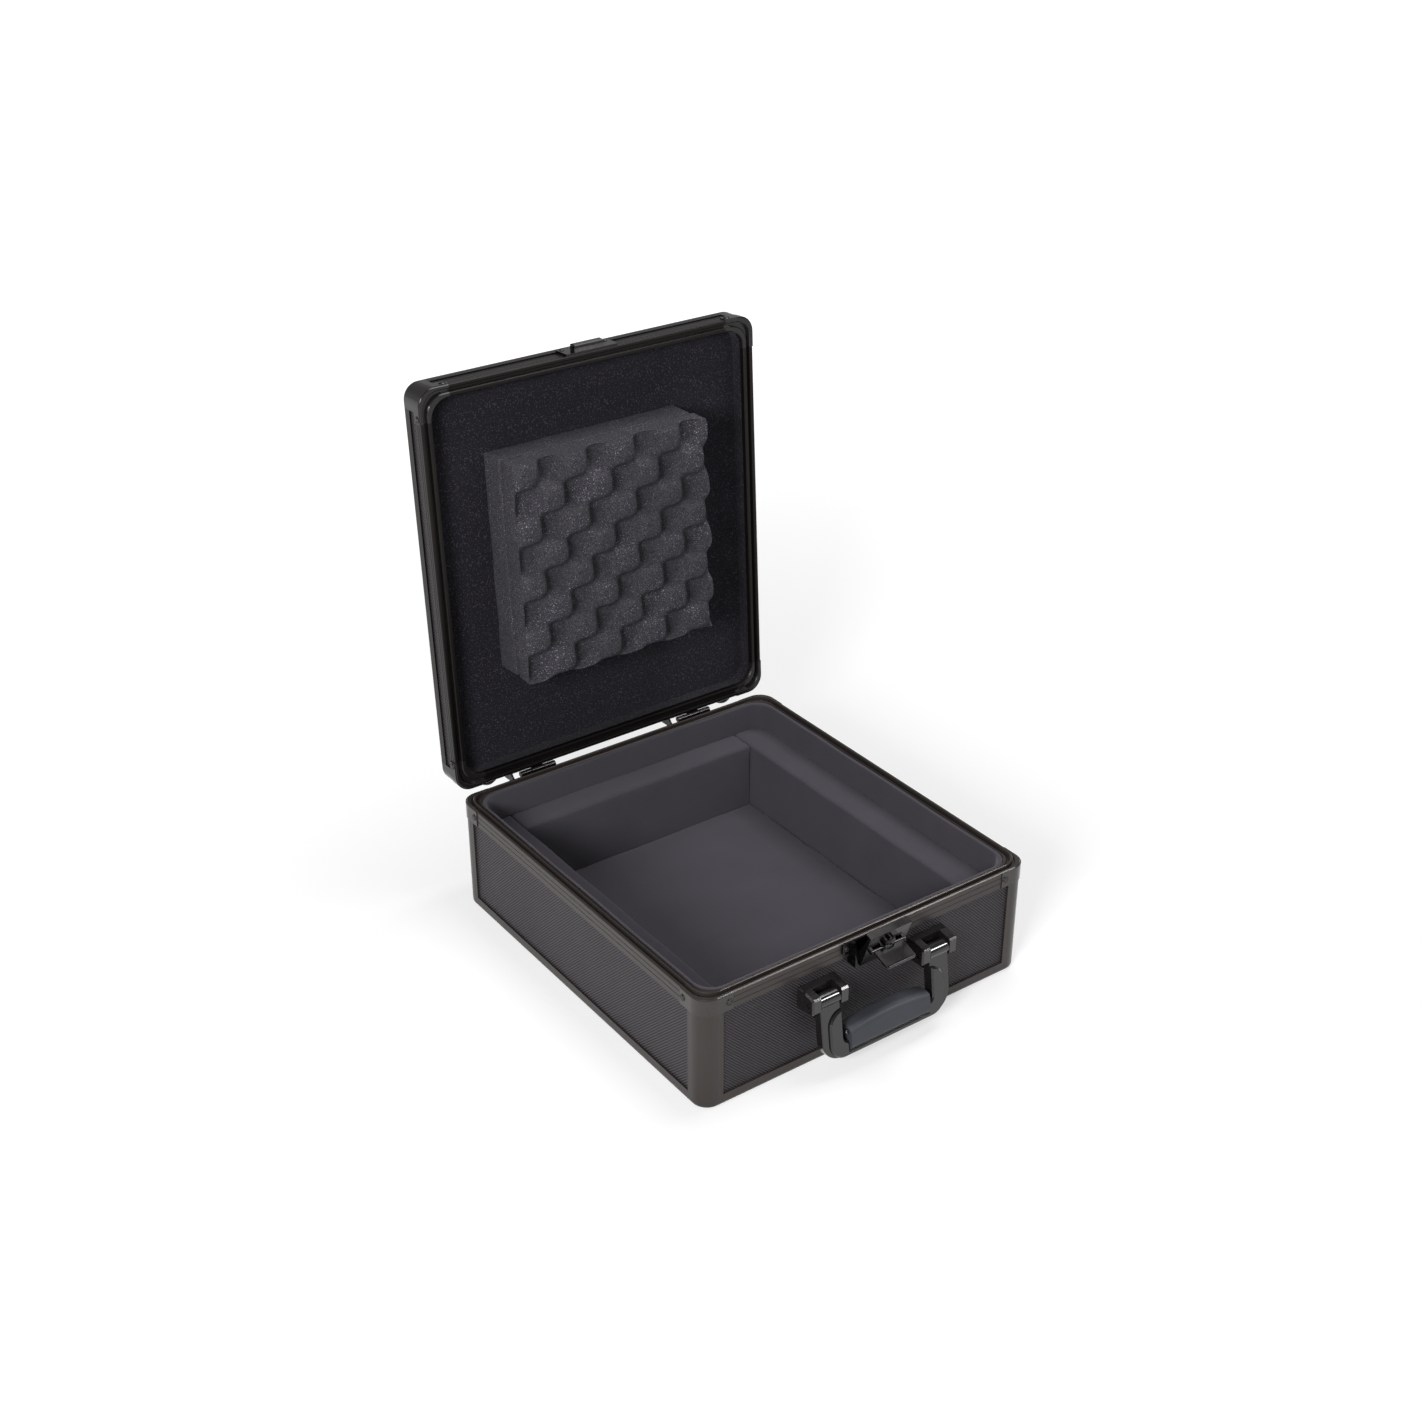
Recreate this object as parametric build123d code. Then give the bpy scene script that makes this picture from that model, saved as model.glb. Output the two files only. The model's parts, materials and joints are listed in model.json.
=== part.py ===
from build123d import *
import os
from math import cos, pi, radians, sin

# A hard case for a small mixer: a deep base and a shallow lid, both made of thin boards held in
# extruded edge and rim profiles, joined by two hinges, with a key latch and a drop handle in front.
# Millimetres. X runs right along the front, Y runs back, Z is up. The origin is the middle of the
# base's underside. The lid is drawn shut, and is turned back to its open rest at the end.

# Overall sizes
case_width = 350.0
case_depth = 384.0
base_height = 111.0
lid_height = 31.0
open_angle = 93.3
corner_radius = 15.0
corner_growth = 0.3

# Boards and the profiles that hold them
board = 5.0
skin = 1.5
fit_gap = 0.1
edge_leg = 11.0
edge_round = 4.0
post_leg = 21.0
post_wall = 1.4
cap_height = 14.0

# Rim profiles: the base has a tongue and the lid has the groove that takes it
rim_height = 16.0
lid_rim_height = 10.0
rim_corner_leg = 30.0
rim_gap = 0.4
lip_width = 3.2
web_depth = 2.0
web_thickness = 2.5
tongue_out = 4.4
tongue_width = 1.6
tongue_height = 2.4
groove_clearance = 0.8
groove_roof = 1.4
base_bead_out = 7.6
base_bead_width = 2.2
lid_bead_out = 7.0
lid_bead_width = 4.0
inner_skirt = 1.2
inner_skirt_height = 7.5
edge_soft = 0.8
ridge_count = 2
ridge_depth = 0.4
ridge_width = 0.6
bracket_proud = 0.8
rivet_radius = 3.6
rivet_sides = 12
rivet_height = 0.9
rivet_reach = 26.0
base_rivet_drop = 8.0
lid_rivet_rise = 5.2

# Linings and foam
lining_out = 8.0
base_lining = 5.0
lining_drop = 0.8
lid_lining = 3.0
floor_pad = 10.0
cavity_width = 260.0
cavity_depth = 304.0
ledge_height = 81.5
ledge_soft = 2.0
lining_fit = 0.2
pad_width = 203.0
pad_length = 207.0
pad_shift_x = -7.5
pad_shift_y = -15.0
slab_thickness = 28.0
wave_base = 24.0
wave_height = 5.0
wave_period = 50.0
wave_steps = 6
wave_margin = 1.5

# Hinges
hinge_side_inset = 85.0
hinge_barrel = 38.0
hinge_offset = 3.0
knuckle_radius = 2.6
hinge_pin_radius = 1.25
pin_clearance = 0.05
knuckle_gap = 0.4
leaf_gauge = 1.5
leaf_height = 24.0
ear_reach = 9.0
ear_width = 2.0
ear_out = 5.5
ear_height = 14.0
ear_gap = 0.3

# Feet on the hinge side, which the shut case stands on
foot_radius = 9.0
foot_height = 9.0
foot_crown = 3.0
foot_side_inset = 39.0
base_foot_height = 26.0
lid_foot_rise = 17.0

# Drop handle
bracket_spacing = 118.0
bracket_width = 38.5
bracket_depth = 19.5
bracket_top_drop = 26.0
bracket_front_top_drop = 28.0
bracket_front_low_drop = 43.5
bracket_low_drop = 45.5
bracket_back = 6.0
bracket_soft = 1.4
handle_pivot_out = 13.0
handle_pivot_drop = 36.7
handle_tilt = 8.0
handle_stop_low_drop = 54.0
arm_width = 20.5
arm_thickness = 9.0
arm_side_gap = 0.5
knuckle_boss = 6.5
handle_drop = 58.5
handle_bar = 14.0
handle_round = 20.0
handle_inner_round = 6.0
handle_soft = 1.5
handle_pin_radius = 2.0
shoulder_inset = 7.0
shoulder_drop = 11.7
shoulder_round = 15.0
shoulder_front = 7.2
grip_end_gap = 0.2
grip_length = 86.0
grip_low = 53.0
grip_high = 32.0
grip_crown = 4.0
grip_front = 10.0
grip_back = 9.0
grip_round = 6.0

# Latch on the base and strike on the lid
latch_width = 52.0
latch_height = 22.0
latch_plate = 2.0
latch_drop = 0.6
lug_reach = 8.0
lug_height = 11.0
cheek_width = 3.4
cheek_reach = 9.0
cheek_top_reach = 5.0
cheek_foot = 9.0
hook_pivot_out = 6.0
hook_pivot_rise = 4.6
hook_pin_radius = 1.5
hook_open = 20.0
hook_side_gap = 0.5
hook_gauge = 1.8
hook_front = 11.3
hook_heel = 3.4
hook_tall = 34.0
flange_top_reach = 0.8
claw_reach = 5.5
claw_clearance = 0.7
flap_width = 31.0
flap_length = 20.0
flap_gauge = 1.6
flap_knuckle = 1.9
flap_pin_radius = 0.9
flap_pivot_rise = 16.8
flap_lug = 2.6
flap_side_gap = 0.3
flap_notch_gap = 0.7
flap_open = 90.0
boss_radius = 6.0
boss_depth = 3.8
boss_rise = 21.5
plug_radius = 3.5
plug_proud = 0.3
keyway_width = 1.0
keyway_depth = 2.5
cam_length = 8.0
cam_width = 5.0
cam_gauge = 1.1
cam_gap = 0.3
strike_width = 54.0
strike_height = 20.0
strike_plate_gauge = 2.0
strike_lift = 1.0
strike_bar_width = 31.0
strike_bar_depth = 7.0
strike_bar_height = 7.5

# Places that follow from the sizes above
panel_in = skin + board
half_w = case_width / 2
half_d = case_depth / 2
front_y = -half_d
rear_y = half_d
rim_z = base_height
lid_rim_z = base_height + rim_gap
lid_top_z = base_height + lid_height
lid_rim_top = base_height + lid_rim_height
web_low = web_depth + web_thickness
board_end = corner_radius + skin * (1 + corner_growth) + fit_gap
hinge_y = rear_y + hinge_offset
hinge_z = base_height + rim_gap / 2
groove_height = tongue_height + groove_roof
handle_pivot_z = rim_z - handle_pivot_drop
lid_web_top = groove_height + web_depth


def block(x0, x1, y0, y1, z0, z1):
    """A box between two corners."""
    return Pos((x0 + x1) / 2, (y0 + y1) / 2, (z0 + z1) / 2) * Box(x1 - x0, y1 - y0, z1 - z0)


def mirrored_pair(shape):
    """The shape and its mirror image on the other side of the middle plane."""
    return [shape, mirror(shape, Plane.YZ)]


def prism_x(points, x0, x1):
    """A straight-sided outline in Y and Z, carried along X."""
    face = make_face(Polyline(*[(x0, y, z) for y, z in points], close=True))
    return extrude(face, x1 - x0, dir=(1, 0, 0))


def rod_x(radius, x0, x1, y, z):
    """A round bar along X."""
    return Pos((x0 + x1) / 2, y, z) * Rot(0, 90, 0) * Cylinder(radius, x1 - x0)


def on_face(x, y, z, normal):
    """A place on a face, with its own Z along the face's outward normal."""
    return Plane(origin=(x, y, z), z_dir=normal).location


# The plan outline and the rings that are cut into profiles and corner pieces

def plan(inset, radius=None):
    """The case's plan outline, drawn in by an inset. Its corners open out as it goes inwards."""
    if radius is None:
        radius = corner_radius - inset if inset < 0 else corner_radius + corner_growth * inset
    return RectangleRounded(case_width - 2 * inset, case_depth - 2 * inset, radius)


def ring(outer, inner, z_low, z_high):
    """A band of the plan between two insets."""
    return Pos(0, 0, z_low) * extrude(plan(outer) - plan(inner), z_high - z_low)


def soft_ring(outer, inner, z_low, z_high, size, upper=True):
    """A band whose upper or lower edges are broken by a bevel."""
    body = ring(outer, inner, z_low, z_high)
    return chamfer(body.edges().group_by(Axis.Z)[-1 if upper else 0], size)


def corner_squares(leg, z_low, z_high):
    """Square columns that cover the case's four corners to a given leg."""
    over = 2 * bracket_proud
    squares = None
    for sx in (-1, 1):
        for sy in (-1, 1):
            xs = sorted((sx * (half_w - leg), sx * (half_w + over)))
            ys = sorted((sy * (half_d - leg), sy * (half_d + over)))
            column = block(*xs, *ys, z_low, z_high)
            squares = column if squares is None else squares + column
    return squares


def corners_of(body, leg, z_low, z_high):
    return body & corner_squares(leg, z_low, z_high)


def runs_of(body, leg, z_low, z_high):
    """The four straight runs between the corners, by side."""
    solids = (body - corner_squares(leg, z_low, z_high)).solids()
    by_x, by_y = solids.sort_by(Axis.X), solids.sort_by(Axis.Y)
    return {"left": by_x[0], "right": by_x[-1], "front": by_y[0], "rear": by_y[-1]}


def at_corners(shape):
    """Four copies of a piece drawn in the corner between +X and +Y, turned into each corner."""
    places = [(-half_w, -half_d, 0), (half_w, -half_d, 90), (half_w, half_d, 180), (-half_w, half_d, 270)]
    return [Pos(x, y, 0) * Rot(0, 0, turn) * shape for x, y, turn in places]


def ridged(body, z_low, z_high):
    """The rim profile's outer face is split into bands by shallow grooves."""
    for i in range(ridge_count):
        z = z_low + (z_high - z_low) * (i + 1) / (ridge_count + 1)
        body -= ring(-skin, ridge_depth, z - ridge_width / 2, z + ridge_width / 2)
    return body


# Base

def base_boards():
    """The floor board has a step all round, so that the edge profiles lie flush under it."""
    floor = extrude(plan(edge_leg + fit_gap), board)
    step = Pos(0, 0, skin) * extrude(plan(skin + fit_gap), board - skin)
    low, high = board, rim_z - web_low
    side_x, side_y = half_w - board_end, half_d - board_end
    return {
        "base_bottom_panel": floor + step,
        "base_front_panel": block(-side_x, side_x, front_y + skin, front_y + panel_in, low, high),
        "base_rear_panel": block(-side_x, side_x, rear_y - panel_in, rear_y - skin, low, high),
        "base_left_panel": block(-half_w + skin, -half_w + panel_in, -side_y, side_y, low, high),
        "base_right_panel": block(half_w - panel_in, half_w - skin, -side_y, side_y, low, high),
    }


def edge_ring(side_height, top):
    """An angle profile round the edge of the base's floor, or of the lid's top."""
    z_low, z_high = (lid_top_z - side_height, lid_top_z) if top else (0, side_height)
    flat = lid_top_z - skin if top else 0
    body = ring(0, skin, z_low, z_high) + ring(0, edge_leg, flat, flat + skin)
    outer_face = body.faces().sort_by(Axis.Z)[-1 if top else 0]
    return fillet(outer_face.outer_wire().edges(), edge_round)


def corner_post():
    """A vertical profile: a rounded hollow corner with a channel for the board on each side."""
    square = Pos(post_leg / 2, post_leg / 2) * Rectangle(post_leg, post_leg)
    rounding = Pos(corner_radius, corner_radius) * Circle(corner_radius)
    waste = Pos(corner_radius / 2, corner_radius / 2) * Rectangle(corner_radius, corner_radius)
    section = square - (waste - rounding)
    reach = panel_in + post_wall
    room = (reach + post_leg + 1) / 2
    section -= Pos(room, room) * Rectangle(post_leg + 1 - reach, post_leg + 1 - reach)
    slot = post_leg + 1 - corner_radius
    section -= Pos(corner_radius + slot / 2, skin + board / 2) * Rectangle(slot, board)
    section -= Pos(skin + board / 2, corner_radius + slot / 2) * Rectangle(board, slot)
    hollow = corner_radius - 2 * post_wall
    core = Pos(post_wall + hollow / 2, post_wall + hollow / 2) * Rectangle(hollow, hollow)
    core &= Pos(corner_radius, corner_radius) * Circle(corner_radius - post_wall)
    solid_part = corner_radius - panel_in
    core -= Pos(panel_in + solid_part / 2, panel_in + solid_part / 2) * Rectangle(solid_part, solid_part)
    section -= core
    height = rim_z - rim_height - cap_height
    return Pos(0, 0, cap_height) * extrude(section, height)


def base_rim_ring():
    """Lip, tongue and bead on one web, with skirts down both faces of the board."""
    bead_in = base_bead_out + base_bead_width
    body = ring(0, skin, rim_z - rim_height, rim_z - web_low)
    body += ring(0, bead_in, rim_z - web_low, rim_z - web_depth)
    body += soft_ring(0, lip_width, rim_z - web_depth, rim_z, edge_soft)
    body += soft_ring(tongue_out, tongue_out + tongue_width, rim_z - web_depth, rim_z + tongue_height,
                      tongue_width / 4)
    body += soft_ring(base_bead_out, bead_in, rim_z - web_depth, rim_z, edge_soft)
    low = rim_z - web_low - inner_skirt_height
    return body + ring(panel_in, panel_in + inner_skirt, low, rim_z - web_low)


def base_rim():
    z_low, z_high = rim_z - rim_height, rim_z + tongue_height
    body = base_rim_ring()
    runs = runs_of(ridged(body, z_low, rim_z), rim_corner_leg, z_low, z_high)
    skirt = ring(-bracket_proud, 0, z_low, rim_z - edge_soft)
    parts = {f"base_rim_{side}": run for side, run in runs.items()}
    parts["base_rim_corners"] = corners_of(body + skirt, rim_corner_leg, z_low, z_high)
    return parts


def rim_rivets(z):
    """Low heads, one on each face of the four rim corners."""
    head = extrude(RegularPolygon(rivet_radius, rivet_sides), rivet_height)
    near_x, near_y = half_w - rivet_reach, half_d - rivet_reach
    side_x, side_y = half_w + bracket_proud, half_d + bracket_proud
    heads = []
    for sx in (-1, 1):
        for sy in (-1, 1):
            heads.append(on_face(sx * side_x, sy * near_y, z, (sx, 0, 0)) * head)
            heads.append(on_face(sx * near_x, sy * side_y, z, (0, sy, 0)) * head)
    return Compound(heads)


def base_linings():
    """Foam ledges round the cavity, the floor pad, and the padded upper wall."""
    outer_x, outer_y = half_w - lining_out, half_d - lining_out
    in_x, in_y = cavity_width / 2, cavity_depth / 2
    side = block(in_x, outer_x, -outer_y, outer_y, board, ledge_height)
    side = fillet(side.edges().filter_by(Axis.Y).sort_by(lambda e: e.center().X - e.center().Z)[0],
                  ledge_soft)
    end = block(-in_x, in_x, in_y, outer_y, board, ledge_height)
    end = fillet(end.edges().filter_by(Axis.X).sort_by(lambda e: e.center().Y - e.center().Z)[0],
                 ledge_soft)
    inner = lining_out + base_lining
    bead_in = base_bead_out + base_bead_width
    wall = ring(lining_out, inner, ledge_height + lining_fit, rim_z - web_low - lining_fit)
    wall += ring(bead_in + lining_fit, inner, rim_z - web_low - lining_fit, rim_z - lining_drop)
    gap = lining_fit
    return {
        "ledge_right": side,
        "ledge_left": mirror(side, Plane.YZ),
        "ledge_rear": end,
        "ledge_front": mirror(end, Plane.XZ),
        "floor_pad": block(-in_x + gap, in_x - gap, -in_y + gap, in_y - gap, board, board + floor_pad),
        "base_wall_lining": wall,
    }


# Lid, drawn shut

def lid_boards():
    top_low = lid_top_z - skin - board
    side_x, side_y = half_w - board_end, half_d - board_end
    low = base_height + lid_web_top
    return {
        "lid_top_panel": Pos(0, 0, top_low) * extrude(plan(skin + fit_gap), board),
        "lid_front_wall": block(-side_x, side_x, front_y + skin, front_y + panel_in, low, top_low),
        "lid_rear_wall": block(-side_x, side_x, rear_y - panel_in, rear_y - skin, low, top_low),
        "lid_left_wall": block(-half_w + skin, -half_w + panel_in, -side_y, side_y, low, top_low),
        "lid_right_wall": block(half_w - panel_in, half_w - skin, -side_y, side_y, low, top_low),
    }


def lid_rim_ring():
    """The same profile as the base's, but with a groove over the tongue."""
    bead_in = lid_bead_out + lid_bead_width
    groove_out = tongue_out - groove_clearance
    roof = base_height + groove_height
    top = base_height + lid_web_top
    body = ring(0, skin, top, lid_rim_top)
    body += ring(0, bead_in, roof, top)
    body += soft_ring(0, groove_out, lid_rim_z, roof, edge_soft, upper=False)
    body += soft_ring(lid_bead_out, bead_in, lid_rim_z, roof, edge_soft, upper=False)
    return body + ring(panel_in, panel_in + inner_skirt, top, top + inner_skirt_height)


def lid_rim():
    """Four rim runs, the brackets that carry the rim round the corners, and the caps over them."""
    z_low, z_high = base_height, lid_rim_top
    body = lid_rim_ring()
    runs = runs_of(ridged(body, lid_rim_z, z_high), rim_corner_leg, z_low, lid_top_z)
    skirt = ring(-bracket_proud, 0, lid_rim_z + edge_soft, z_high)
    parts = {f"lid_rim_{side}": run for side, run in runs.items()}
    edge = edge_ring(edge_leg, top=True)
    wall = ring(0, skin, z_high, lid_top_z - edge_leg)
    parts["lid_rim_corners"] = corners_of(body + skirt, rim_corner_leg, z_low, z_high + inner_skirt_height)
    parts["lid_corner_caps"] = corners_of(edge + wall, post_leg, z_high, lid_top_z)
    edges = runs_of(edge, post_leg, z_high, lid_top_z)
    parts["lid_top_edges"] = Compound(list(edges.values()))
    return parts


def lid_linings():
    ceiling = lid_top_z - skin - board
    low = base_height + lid_web_top + lining_fit
    inner = lining_out + lid_lining
    return {
        "lid_wall_lining": ring(lining_out, inner, low, ceiling - lid_lining - lining_fit),
        "lid_top_lining": Pos(0, 0, ceiling - lid_lining) * extrude(plan(lining_out), lid_lining),
    }


def stations(middle, length):
    """Places along the pad, a fraction of a wave apart, with the two ends of the pad added."""
    step = wave_period / wave_steps
    count = int((length - 2 * wave_margin) // step)
    inner = [middle + (i - count / 2) * step for i in range(count + 1)]
    return [middle - length / 2] + inner + [middle + length / 2]


def wave_drop(x, y):
    """How far the foam's front stands down at one place: bumps and hollows in a chequer."""
    a, b = cos(2 * pi * (x - pad_shift_x) / wave_period), cos(2 * pi * (y - pad_shift_y) / wave_period)
    return wave_base + wave_height * a * b


def flat_face(points):
    return make_face(Polyline(*points, close=True))


def foam_waves(z_back):
    """The wavy layer, in small flat facets between its stations both ways."""
    xs, ys = stations(pad_shift_x, pad_width), stations(pad_shift_y, pad_length)
    front = [[(x, y, z_back - wave_drop(x, y)) for y in ys] for x in xs]
    faces = []
    for i in range(len(xs) - 1):
        for j in range(len(ys) - 1):
            p, q, t, u = front[i][j], front[i + 1][j], front[i + 1][j + 1], front[i][j + 1]
            halves = [(p, q, t), (p, t, u)] if (i + j) % 2 else [(p, q, u), (q, t, u)]
            faces += [flat_face(half) for half in halves]
    corners = [(xs[0], ys[0]), (xs[-1], ys[0]), (xs[-1], ys[-1]), (xs[0], ys[-1])]
    back = [(x, y, z_back) for x, y in corners]
    sides = [[row[0] for row in front], front[-1], [row[-1] for row in front][::-1], front[0][::-1]]
    for i, side in enumerate(sides):
        faces.append(flat_face(side + [back[(i + 1) % 4], back[i]]))
    faces.append(flat_face(back))
    return Solid(Shell(faces))


def foam_pad():
    back = lid_top_z - skin - board - lid_lining
    x0, x1 = pad_shift_x - pad_width / 2, pad_shift_x + pad_width / 2
    y0, y1 = pad_shift_y - pad_length / 2, pad_shift_y + pad_length / 2
    front = back - slab_thickness
    return {
        "foam_slab": block(x0, x1, y0, y1, front, back),
        "foam_waves": foam_waves(front - lining_fit),
    }


# Hinges: two leaves on a pin, each with an ear, and the ears meet when the lid is open

def hinge_spans(x_left):
    """The three knuckles of one barrel, from its left end."""
    length = (hinge_barrel - 2 * knuckle_gap) / 3
    starts = [x_left + i * (length + knuckle_gap) for i in range(3)]
    return [(x, x + length) for x in starts]


def hinge_leaf(x_left, up):
    """One leaf. The base's leaf hangs down from the axis and has the outer knuckles."""
    s = 1 if up else -1
    spans = hinge_spans(x_left)
    mine = spans[1:2] if up else spans[::2]
    x0, x1 = x_left - ear_reach, x_left + hinge_barrel
    z_near, z_far = hinge_z + s * (knuckle_radius + knuckle_gap), hinge_z + s * leaf_height
    z_near, z_far = sorted((z_near, z_far))
    leaf = block(x0, x1, rear_y, rear_y + leaf_gauge, z_near, z_far)
    for a, b in mine:
        za, zb = sorted((hinge_z, hinge_z + s * (knuckle_radius + knuckle_gap)))
        leaf += block(a, b, rear_y + fit_gap, rear_y + leaf_gauge, za, zb)
        leaf += rod_x(knuckle_radius, a, b, hinge_y, hinge_z)
    for a, b in spans:
        leaf -= rod_x(hinge_pin_radius + pin_clearance, a - knuckle_gap, b + knuckle_gap, hinge_y, hinge_z)
    half = radians(open_angle / 2)
    along, away = (cos(half), s * sin(half)), (-sin(half), s * cos(half))
    near = (away[0] * ear_gap / 2, away[1] * ear_gap / 2)
    far = ear_out / along[0]
    tip = (near[0] + along[0] * far, near[1] + along[1] * far)
    wall = -hinge_offset
    points = [(wall, s * ear_height), (wall, s * hinge_offset), near, tip, (tip[0], s * ear_height)]
    points = [(hinge_y + y, hinge_z + z) for y, z in points]
    return leaf + prism_x(points, x0, x0 + ear_width)


def hinges():
    lefts = [s * (half_w - hinge_side_inset) - hinge_barrel / 2 for s in (-1, 1)]
    pins = [rod_x(hinge_pin_radius, x, x + hinge_barrel, hinge_y, hinge_z) for x in lefts]
    fixed = {
        "hinge_base_leaves": Compound([hinge_leaf(x, up=False) for x in lefts]),
        "hinge_pins": Compound(pins),
    }
    moving = {
        "hinge_lid_leaves": Compound([hinge_leaf(x, up=True) for x in lefts]),
    }
    return fixed, moving


def rear_feet(z, seat):
    """Two domed feet, seated at an inset from the outer face and all reaching as far back."""
    foot = Cylinder(foot_radius, foot_height + seat, align=(Align.CENTER, Align.CENTER, Align.MIN))
    foot = chamfer(foot.edges().group_by(Axis.Z)[-1], foot_crown)
    feet = [on_face(s * (half_w - foot_side_inset), rear_y - seat, z, (0, 1, 0)) * foot for s in (-1, 1)]
    return Compound(feet)


# Drop handle

def handle_brackets():
    """Two cheeks on a back plate, and a tongue behind the arm that holds the handle out."""
    y, out = front_y, bracket_depth
    top, low = rim_z - bracket_top_drop, rim_z - bracket_low_drop
    front_top, front_low = rim_z - bracket_front_top_drop, rim_z - bracket_front_low_drop
    points = [(y + skin, low), (y + skin, top), (y - bracket_back, top),
              (y - out, front_top), (y - out, front_low), (y - bracket_back, low)]
    x0 = bracket_spacing / 2 - bracket_width / 2
    x1 = x0 + bracket_width
    body = prism_x(points, x0, x1)
    front_edges = body.edges().filter_by(lambda e: e.center().Y < y - bracket_back - fit_gap)
    body = chamfer(front_edges, bracket_soft)
    side = arm_width / 2 + arm_side_gap
    mid = bracket_spacing / 2
    pivot_y = y - handle_pivot_out
    body -= block(mid - side, mid + side, y - out - 1, y - bracket_back, low - 1, top + 1)
    slope = sin(radians(handle_tilt)) / cos(radians(handle_tilt))
    stop_out = handle_pivot_out - arm_thickness / 2 / cos(radians(handle_tilt)) - arm_side_gap
    stop_low = rim_z - handle_stop_low_drop
    stop_top = handle_pivot_z - knuckle_boss - arm_side_gap
    points = [(y + skin, stop_top), (y + skin, stop_low),
              (y - stop_out - (handle_pivot_z - stop_low) * slope, stop_low),
              (y - stop_out - (handle_pivot_z - stop_top) * slope, stop_top)]
    body += prism_x(points, mid - side, mid + side)
    hole = handle_pin_radius + pin_clearance
    body -= rod_x(hole, x0 - 1, x1 + 1, pivot_y, handle_pivot_z)
    pin = rod_x(handle_pin_radius, x0 + bracket_soft, x1 - bracket_soft, pivot_y, handle_pivot_z)
    right, left = mirrored_pair(body)
    return {
        "handle_bracket_right": right,
        "handle_bracket_left": left,
        "handle_pins": Compound(mirrored_pair(pin)),
    }


def handle_outline():
    """The U of the handle, seen from the front, with its pivots on the X axis."""
    outer_x = bracket_spacing / 2 + arm_width / 2
    inner_x = outer_x - arm_width
    bar_top = -handle_drop + handle_bar
    outer = Pos(0, -handle_drop / 2) * Rectangle(2 * outer_x, handle_drop)
    outer = fillet(outer.vertices().group_by(Axis.Y)[0], handle_round)
    inner = Pos(0, bar_top + handle_drop / 2) * Rectangle(2 * inner_x, handle_drop)
    inner = fillet(inner.vertices().group_by(Axis.Y)[0], handle_inner_round)
    return outer - inner


def upright(sketch, depth, y_front):
    """A sketch in X and Y stood up in the X and Z plane, carried back from y_front."""
    return Pos(0, y_front + depth, 0) * Rot(90, 0, 0) * extrude(sketch, depth)


def handle_shoulder(outline):
    """The raised part of the frame: its two lower corners and the strip that runs under the grip."""
    width = bracket_spacing + arm_width - 2 * shoulder_inset
    tall = handle_drop - shoulder_drop
    raised = outline & Pos(0, -shoulder_drop - tall / 2) * RectangleRounded(width, tall, shoulder_round)
    room_low = grip_low + grip_end_gap
    return raised - Pos(0, -room_low / 2) * Rectangle(grip_length + 2 * grip_end_gap, room_low)


def handle_grip():
    """A crowned bar with rounded edges, slotted to sit over the frame's bottom bar."""
    half = grip_length / 2
    crown = ThreePointArc((-half, -grip_high), (0, grip_crown - grip_high), (half, -grip_high))
    rest = Polyline((half, -grip_high), (half, -grip_low), (-half, -grip_low), (-half, -grip_high))
    grip = upright(make_face(Curve() + [crown, rest]), grip_front + grip_back, -grip_front)
    long_edges = grip.edges().filter_by(lambda e: abs(e.center().X) < fit_gap)
    grip = fillet(long_edges, grip_round)
    room = arm_thickness / 2 + fit_gap
    bar_top = -handle_drop + handle_bar + fit_gap
    return grip - block(-grip_length, grip_length, -room, room, -2 * handle_drop, bar_top)


def handle():
    """The moulded frame and its grip, hung straight down and then tipped out to its rest."""
    outline = handle_outline()
    thin = arm_thickness
    frame = upright(outline, thin, -thin / 2)
    frame = chamfer(frame.edges().filter_by(lambda e: abs(e.center().Y) > thin / 2 - fit_gap), handle_soft / 2)
    bulge = upright(handle_shoulder(outline), shoulder_front, -shoulder_front)
    frame += chamfer(bulge.faces().sort_by(Axis.Y)[0].edges(), handle_soft)
    mid = bracket_spacing / 2
    knuckle = rod_x(knuckle_boss, mid - arm_width / 2, mid + arm_width / 2, 0, 0)
    hole = rod_x(handle_pin_radius + pin_clearance, mid - arm_width, mid + arm_width, 0, 0)
    for extra in mirrored_pair(knuckle):
        frame += extra
    for bore in mirrored_pair(hole):
        frame -= bore
    place = Pos(0, front_y - handle_pivot_out, handle_pivot_z) * Rot(-handle_tilt, 0, 0)
    return {"handle_frame": place * frame, "handle_grip": place * handle_grip()}


# Latch and strike

latch_top = rim_z - latch_drop
latch_low = latch_top - latch_height
hook_y = front_y - hook_pivot_out
hook_z = latch_low + hook_pivot_rise
strike_low = base_height + strike_lift
claw_top = hook_z + hook_tall
claw_low = claw_top - hook_gauge
bar_top = claw_low - claw_clearance
flap_y = front_y - hook_front - flap_knuckle
flap_z = hook_z + flap_pivot_rise
boss_z = hook_z + boss_rise


def latch_housing():
    """A plate on the rim profile with a cheek at each side and a lug beyond each cheek."""
    half = latch_width / 2
    plate = block(-half, half, front_y - latch_plate, front_y, latch_low, latch_top)
    plate += block(-half, half, front_y - latch_plate, front_y + skin, latch_low,
                   rim_z - rim_height - fit_gap)
    lug = block(-half - lug_reach, half + lug_reach, front_y - latch_plate, front_y,
                latch_top - lug_height, latch_top)
    lug = fillet(lug.edges().filter_by(Axis.Y), latch_plate)
    foot = latch_low + cheek_foot
    points = [(front_y - latch_plate, latch_low), (front_y - cheek_reach, latch_low),
              (front_y - cheek_reach, foot), (front_y - cheek_top_reach, latch_top),
              (front_y - latch_plate, latch_top)]
    cheek = prism_x(points, half - cheek_width, half)
    body = plate + lug
    for piece in mirrored_pair(cheek):
        body += piece
    return body - rod_x(hook_pin_radius + pin_clearance, -half - 1, half + 1, hook_y, hook_z)


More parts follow.
